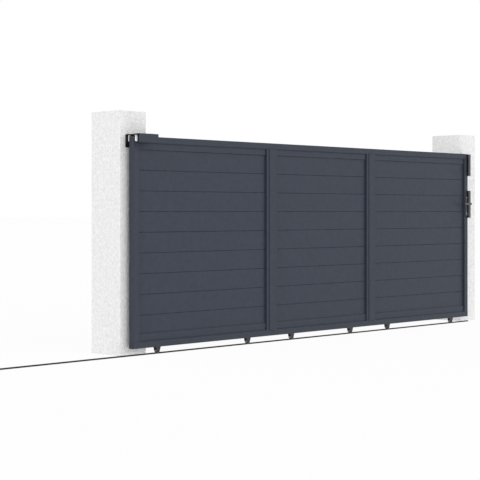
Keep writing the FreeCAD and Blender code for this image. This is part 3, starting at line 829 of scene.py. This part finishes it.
@dataclass
class Lock:
    """Lock plates, lever handles and key cylinder on the right end stile.

    The keyway is a dark bar of painted shade that stands a little proud of the cylinder's face; its ease is
    a share of its height over that face.
    """

    screw: Fixing = Fixing(Head.FLAT, radius=0.0042, height=0.0006)
    screw_inset: float = 0.011
    slot_length: float = 0.0085
    slot_width: float = 0.002
    shade_bar_proud: float = 0.0003
    slot_ease: float = 0.6
    slot_steps: int = 2

    def build(self, paint: Paintshop) -> None:
        """Build the plates' screws and the dark bars of painted shade that stand for the keyways.

        Args:
            paint: The materials.
        """
        for side, outward in (("front", FRONT), ("back", BACK)):
            low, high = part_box(side + "_lock_plate")
            x = (low.x + high.x) / 2
            y = low.y if outward is FRONT else high.y
            spots = [Vector((x, y, z)) for z in (low.z + self.screw_inset, high.z - self.screw_inset)]
            fixings(paint, side + "_plate_screws", Body.LEAF, Slot.NICKEL, self.screw, spots, outward)
            self._painted_keyway_shade(paint, side, outward)

    def _painted_keyway_shade(self, paint: Paintshop, side: str, outward: Vector) -> None:
        """Build a dark bar of painted shade for the keyway on one face of the cylinder.

        Args:
            paint: The materials.
            side: Front or back.
            outward: Direction that the face points.
        """
        low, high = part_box("lock_cylinder")
        spot = (low + high) / 2
        spot.y = low.y if outward is FRONT else high.y
        mesh = bmesh.new()
        # Painted shade: the keyway's darkness is drawn as a black bar standing proud of the face, not as a
        # shaded hole.
        shape = Matrix.Diagonal((self.slot_width, 2 * self.shade_bar_proud, self.slot_length, 1.0))
        bmesh.ops.create_cube(mesh, size=1.0, matrix=Matrix.Translation(spot) @ shape)
        bmesh.ops.bevel(mesh, geom=mesh.edges[:], offset=self.shade_bar_proud * self.slot_ease,
                        offset_type="OFFSET", affect="EDGES", segments=self.slot_steps,
                        profile=0.5, material=-1)
        paint.add(mesh, side + "_painted_keyway_shade", Body.LEAF, Slot.HANDLE)

    def dress(self, paint: Paintshop) -> None:
        """Finish the plates, levers and cylinder."""
        paint.dress(Slot.HANDLE, "front_lock_plate", "back_lock_plate", "front_lever", "back_lever")
        paint.dress(Slot.NICKEL, "lock_cylinder")


@dataclass(frozen=True)
class Softbox:
    """A broad distant lamp, with its angles in degrees."""

    name: str
    strength: float
    spread: float
    heading: float
    height: float

    def build(self) -> None:
        """Hang the lamp so that it shines towards the gate."""
        lamp = bpy.data.lights.new(self.name, "SUN")
        lamp.energy = self.strength
        lamp.angle = math.radians(self.spread)
        piece = bpy.data.objects.new(self.name, lamp)
        turn = math.radians(self.heading)
        lift = math.radians(self.height)
        away = Vector((math.sin(turn) * math.cos(lift), -math.cos(turn) * math.cos(lift), math.sin(lift)))
        piece.rotation_euler = away.to_track_quat("Z", "Y").to_euler()
        bpy.context.scene.collection.objects.link(piece)


@dataclass
class Studio:
    """Pale shining floor, white surroundings and soft light.

    The floor's white and glow are its white shader's shares, in what is seen and in the light it gives.
    """

    floor_size: float = 400.0
    floor_drop: float = 0.0005
    floor_colour: Colour = (0.95, 0.95, 0.95)
    floor_white: float = 0.95
    floor_glow: float = 0.8
    ambient: float = 0.45
    lamps: tuple[Softbox, ...] = (
        Softbox("left_softbox", strength=1.12, spread=50.0, heading=-85.0, height=30.0),
        Softbox("right_softbox", strength=1.12, spread=60.0, heading=15.0, height=22.0),
    )

    def build(self) -> None:
        """Lay the floor, colour the surroundings and hang the lamps."""
        self._floor()
        self._surroundings()
        for lamp in self.lamps:
            lamp.build()
        bpy.context.scene.view_settings.view_transform = "Standard"
        LOG.info("built the studio with %d lamps", len(self.lamps))

    @staticmethod
    def _seen(sheet: Sheet) -> Socket:
        """Where a ray comes from the camera, straight or by reflection or through glass.

        Args:
            sheet: The sheet of the floor or the surroundings.

        Returns:
            1 for such a ray and 0 for the rest.
        """
        path = sheet.add("LightPath")
        seen = sheet.math("MAXIMUM", path.outputs["Is Camera Ray"], path.outputs["Is Glossy Ray"])
        return sheet.math("MAXIMUM", seen, path.outputs["Is Transmission Ray"])

    @staticmethod
    def _show(sheet: Sheet, mask: Socket, plain: Node, white: Node, output: str) -> None:
        """Mix two shaders into what shows.

        Args:
            sheet: The sheet of the floor or the surroundings.
            mask: The white shader's share.
            plain: Shader that takes or gives plain light.
            white: Shader that looks white.
            output: Name of the output node.
        """
        mix = sheet.add("MixShader")
        for source, target in zip((mask, plain.outputs[0], white.outputs[0]), mix.inputs):
            sheet.join(source, target)
        sheet.join(mix.outputs[0], sheet.tree.nodes[output].inputs["Surface"])

    def _floor(self) -> None:
        """Lay a floor that shines softly, looks white and still takes the gate's shadow."""
        mesh = bmesh.new()
        bmesh.ops.create_grid(mesh, x_segments=1, y_segments=1, size=self.floor_size / 2,
                              matrix=Matrix.Translation((0, 0, -self.floor_drop)))
        data = bpy.data.meshes.new("floor")
        mesh.to_mesh(data)
        mesh.free()
        floor = bpy.data.objects.new("floor", data)
        bpy.context.scene.collection.objects.link(floor)
        made = bpy.data.materials.new("floor_paper")
        made.use_nodes = True
        made.node_tree.nodes.remove(made.node_tree.nodes["Principled BSDF"])
        sheet = Sheet(made.node_tree)
        paper = sheet.add("BsdfDiffuse", Color=(*self.floor_colour, 1.0))
        white = sheet.add("Emission", Color=WHITE, Strength=1.0)
        share = sheet.spread(self._seen(sheet), self.floor_glow, self.floor_white)
        self._show(sheet, share, paper, white, "Material Output")
        data.materials.append(made)

    def _surroundings(self) -> None:
        """Colour the surroundings white to the eye, with plain even light."""
        world = bpy.data.worlds.new("white_surroundings")
        world.use_nodes = True
        bpy.context.scene.world = world
        sheet = Sheet(world.node_tree)
        light = world.node_tree.nodes["Background"]
        light.inputs["Color"].default_value = WHITE
        light.inputs["Strength"].default_value = self.ambient
        white = sheet.add("Background", Color=WHITE, Strength=1.0)
        self._show(sheet, self._seen(sheet), light, white, "World Output")


@dataclass
class Viewpoint:
    """Level camera before the gate's left end.

    Angles are degrees, lens and sensor are millimetres, and the shift is a share of the picture's width.
    """

    place: tuple[float, float, float] = (-6.2475, -7.4215, 1.05)
    tilt: float = 90.0
    heading: float = -45.4
    lens: float = 97.49
    sensor: float = 36.0
    shift: tuple[float, float] = (0.0012, -0.05875)
    reach: float = 500.0

    def build(self) -> None:
        """Set the camera up as the scene's own."""
        data = bpy.data.cameras.new("viewpoint")
        data.lens = self.lens
        data.sensor_width = self.sensor
        data.shift_x, data.shift_y = self.shift
        data.clip_end = self.reach
        camera = bpy.data.objects.new("viewpoint", data)
        camera.location = self.place
        camera.rotation_euler = (math.radians(self.tilt), 0.0, math.radians(self.heading))
        bpy.context.scene.collection.objects.link(camera)
        bpy.context.scene.camera = camera
        LOG.info("set the camera at %s", self.place)


def main() -> None:
    """Build and dress each sub-assembly, then the studio and the camera."""
    logging.basicConfig(level=logging.INFO, format="%(name)s: %(message)s")
    paint = Paintshop()
    Pillars().dress(paint)
    for assembly in (GroundTrack(), UpperGuide(), Catches(), Lock()):
        assembly.build(paint)
        assembly.dress(paint)
    Leaf().dress(paint)
    Studio().build()
    Viewpoint().build()


if __name__ == "__main__":
    main()
